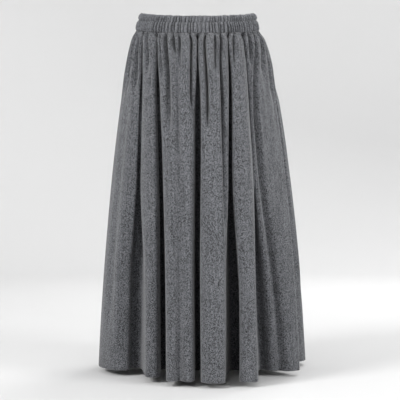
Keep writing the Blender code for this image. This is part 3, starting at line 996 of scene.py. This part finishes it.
def studio_paper(name, colours):
    """Pale seamless paper, with painted shade that darkens it round the skirt."""
    desk = ShaderDesk(name)
    place = desk.node("ShaderNodeTexCoord", {}, {}).outputs["Object"]
    grain = desk.noise(place, scale=60.0, detail=2.0)
    flat = desk.node("ShaderNodeVectorMath", {"operation": "MULTIPLY"}, [place, (1.0, 1.0, 0.0)])
    reach = desk.node("ShaderNodeVectorMath", {"operation": "LENGTH"}, [flat.outputs[0]])
    # Painted shade: the paper's colour is darkened round the skirt and fades to full further off.
    far = (Number(desk, reach.outputs["Value"]) - PAINTED_SHADE_FADE_FROM) / PAINTED_SHADE_FADE_RUN
    far = far.done("MAXIMUM", 0.0).done("MINIMUM", 1.0) + (grain - 0.5) * PAPER_GRAIN
    near = [c * PAPER_PAINTED_SHADE for c in colours.floor]
    links = {"Base Color": desk.blend(far, (*near, 1.0), (*colours.floor, 1.0))}
    return desk.feed(links, {"Roughness": 0.95, "Specular IOR Level": 0.1})


class SKIRT_OT_sew_panels(bpy.types.Operator):
    """Sew the front and the back panel with their folds and creases"""

    bl_idname = "skirt.sew_panels"
    bl_label = "Sew the panels"

    def execute(self, context):
        sizes = context.scene.skirt_sizes
        cloth = hang_cloth(sizes)
        colours = context.scene.skirt_colours
        finish = flannel("grey_flannel_cloth", colours, depth=0.0011, tone_and_painted_light=0.47)
        count = len(FRONT_FOLDS)
        front = sew_panel("front_cloth", "front_panel", 0, count, cloth, sizes, finish)
        back = sew_panel("back_cloth", "back_panel", count, len(FOLDS), cloth, sizes, finish)
        return {"FINISHED"}


class SKIRT_OT_sew_waistband(bpy.types.Operator):
    """Sew the ruffled waistband over its elastic"""

    bl_idname = "skirt.sew_waistband"
    bl_label = "Sew the waistband"

    def execute(self, context):
        sizes = context.scene.skirt_sizes
        share, (outside, inside) = band_rows(sizes)
        rim = (outside[:1] + inside[:1]) / 2.0
        rim[..., 2] += RIM_HEIGHT
        rows = np.concatenate([outside, inside[::-1], rim])
        steps = np.linalg.norm(np.roll(outside, -1, axis=1) - outside, axis=2).mean(axis=0)
        walked = np.concatenate([[0.0], np.cumsum(steps)]) + BAND_START
        across = [np.tile(side, (len(rows), 1)) for side in (walked[:-1], walked[1:])]
        fall = share * sizes.band_height
        down = -np.concatenate([fall, fall[::-1] + BAND_INSIDE, [-EDGE_ROUND]])
        band = sew("waistband_cloth", rows, across, down, closed=True)
        colours = context.scene.skirt_colours
        # Painted light: the band's cloth is made lighter, for the top light on its tilted face.
        finish = flannel("waistband_flannel_painted_light", colours, depth=0.0009, tone_and_painted_light=0.71)
        band.data.materials.append(finish)
        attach(band, "root")
        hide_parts("waistband")
        return {"FINISHED"}


class SKIRT_OT_sew_stitching(bpy.types.Operator):
    """Lay the rows of thread along the band and above the hem"""

    bl_idname = "skirt.sew_stitching"
    bl_label = "Sew the stitching"

    def execute(self, context):
        sizes = context.scene.skirt_sizes
        finish = sewing_thread("sewing_thread", context.scene.skirt_colours)
        share, (outside, _) = band_rows(sizes)
        line = outside[np.argmin(np.abs(share - STITCH_SHARE))]
        picked = np.arange(FIRST_STITCH_COLUMN, len(line), COLUMNS_A_STITCH)
        centres = line[picked]
        runs = line[(picked + 1) % len(line)] - line[picked - 1]
        stitches = thread_dashes("band_stitching", centres, runs, *BAND_STITCH)
        stitches.data.materials.append(finish)
        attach(stitches, "root")

        cloth = hang_cloth(sizes)
        rows = panel_rows(cloth, sizes)
        fall = (1.0 - cloth.share) * sizes.drop
        upper, lower = (int(np.argmin(np.abs(fall - height))) for height in HEM_STITCHES_BETWEEN)
        line = mix(rows[upper], rows[lower], HEM_STITCH_PLACE)
        steps = np.linalg.norm(np.roll(line, -1, axis=0) - line, axis=1)
        walked = np.concatenate([[0.0], np.cumsum(steps)])
        stops = np.arange(FIRST_HEM_STITCH, walked[-1], sizes.stitch_pitch)
        closed = np.concatenate([line, line[:1]])
        centres, ahead = (
            np.stack([np.interp(at, walked, closed[:, k]) for k in range(3)], axis=1)
            for at in (stops, stops + HEM_STITCH_AHEAD)
        )
        stitches = thread_dashes("hem_stitching", centres, ahead - centres, *HEM_STITCH)
        stitches.data.materials.append(finish)
        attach(stitches, "root")
        return {"FINISHED"}


class SKIRT_OT_set_stage(bpy.types.Operator):
    """Set the pale studio, its soft lights and the camera"""

    bl_idname = "skirt.set_stage"
    bl_label = "Set the stage"

    def execute(self, context):
        colours = context.scene.skirt_colours
        profile = [(radius, 0.0) for radius in PAPER_FLAT]
        profile += [
            (PAPER_FLAT[1] + PAPER_BEND * math.sin(a), PAPER_BEND - PAPER_BEND * math.cos(a))
            for a in np.linspace(PAPER_BEND_FROM, math.pi / 2.0, PAPER_BEND_STEPS)
        ]
        profile.append(PAPER_TOP)
        sides = PAPER_SIDES
        vertices = [
            (r * math.sin(2.0 * math.pi * k / sides), r * math.cos(2.0 * math.pi * k / sides), h)
            for r, h in profile
            for k in range(sides)
        ]
        faces = [list(reversed(range(sides)))]
        for ring in range(len(profile) - 1):
            for k in range(sides):
                a, b = ring * sides + k, ring * sides + (k + 1) % sides
                faces.append((a, b, b + sides, a + sides))
        mesh = bpy.data.meshes.new("studio_paper")
        mesh.from_pydata(vertices, [], faces)
        mesh.shade_smooth()
        paper = bpy.data.objects.new("studio_paper", mesh)
        paper.location.z = CAD_LOW[2] - FLOOR_BELOW
        mesh.materials.append(studio_paper("studio_paper", colours))
        context.scene.collection.objects.link(paper)

        for light in LIGHTS:
            lamp = bpy.data.lights.new(light.name, "AREA")
            lamp.energy = light.share * colours.key_power
            lamp.size = light.size
            holder = bpy.data.objects.new(light.name, lamp)
            holder.location = light.place
            aim = holder.location.copy()
            aim.z += AIM_ABOVE
            holder.rotation_euler = aim.to_track_quat("Z", "Y").to_euler()
            holder.visible_camera = False
            context.scene.collection.objects.link(holder)

        world = bpy.data.worlds.new("studio_air")
        world.use_nodes = True
        air = world.node_tree.nodes["Background"]
        air.inputs["Color"].default_value = (1.0, 1.0, 1.0, 1.0)
        air.inputs["Strength"].default_value = AIR_STRENGTH
        context.scene.world = world

        lens = bpy.data.cameras.new("camera")
        lens.lens = LENS_MM
        lens.sensor_width = SENSOR_MM
        camera = bpy.data.objects.new("camera", lens)
        camera.location = CAMERA_PLACE
        camera.rotation_euler = (math.radians(90.0), 0.0, 0.0)
        context.scene.collection.objects.link(camera)
        context.scene.camera = camera
        context.scene.view_settings.view_transform = "Standard"
        return {"FINISHED"}


class SKIRT_PT_maker(bpy.types.Panel):
    """Sizes, colours and the steps that make the skirt"""

    bl_idname = "SKIRT_PT_maker"
    bl_label = "Gathered skirt"
    bl_space_type = "VIEW_3D"
    bl_region_type = "UI"
    bl_category = "Skirt"

    def draw(self, context):
        for group in (context.scene.skirt_sizes, context.scene.skirt_colours):
            box = self.layout.box()
            for key in group.__annotations__:
                box.prop(group, key)
        for step in STEPS:
            self.layout.operator(step.bl_idname)


STEPS = (SKIRT_OT_sew_panels, SKIRT_OT_sew_waistband, SKIRT_OT_sew_stitching, SKIRT_OT_set_stage)
CLASSES = (SkirtSizes, SkirtColours, *STEPS, SKIRT_PT_maker)


def register():
    for made in CLASSES:
        bpy.utils.register_class(made)
    bpy.types.Scene.skirt_sizes = bpy.props.PointerProperty(type=SkirtSizes)
    bpy.types.Scene.skirt_colours = bpy.props.PointerProperty(type=SkirtColours)


def unregister():
    del bpy.types.Scene.skirt_colours
    del bpy.types.Scene.skirt_sizes
    for made in reversed(CLASSES):
        bpy.utils.unregister_class(made)


def main():
    register()
    bpy.ops.skirt.sew_panels()
    bpy.ops.skirt.sew_waistband()
    bpy.ops.skirt.sew_stitching()
    bpy.ops.skirt.set_stage()


if __name__ == "__main__":
    main()
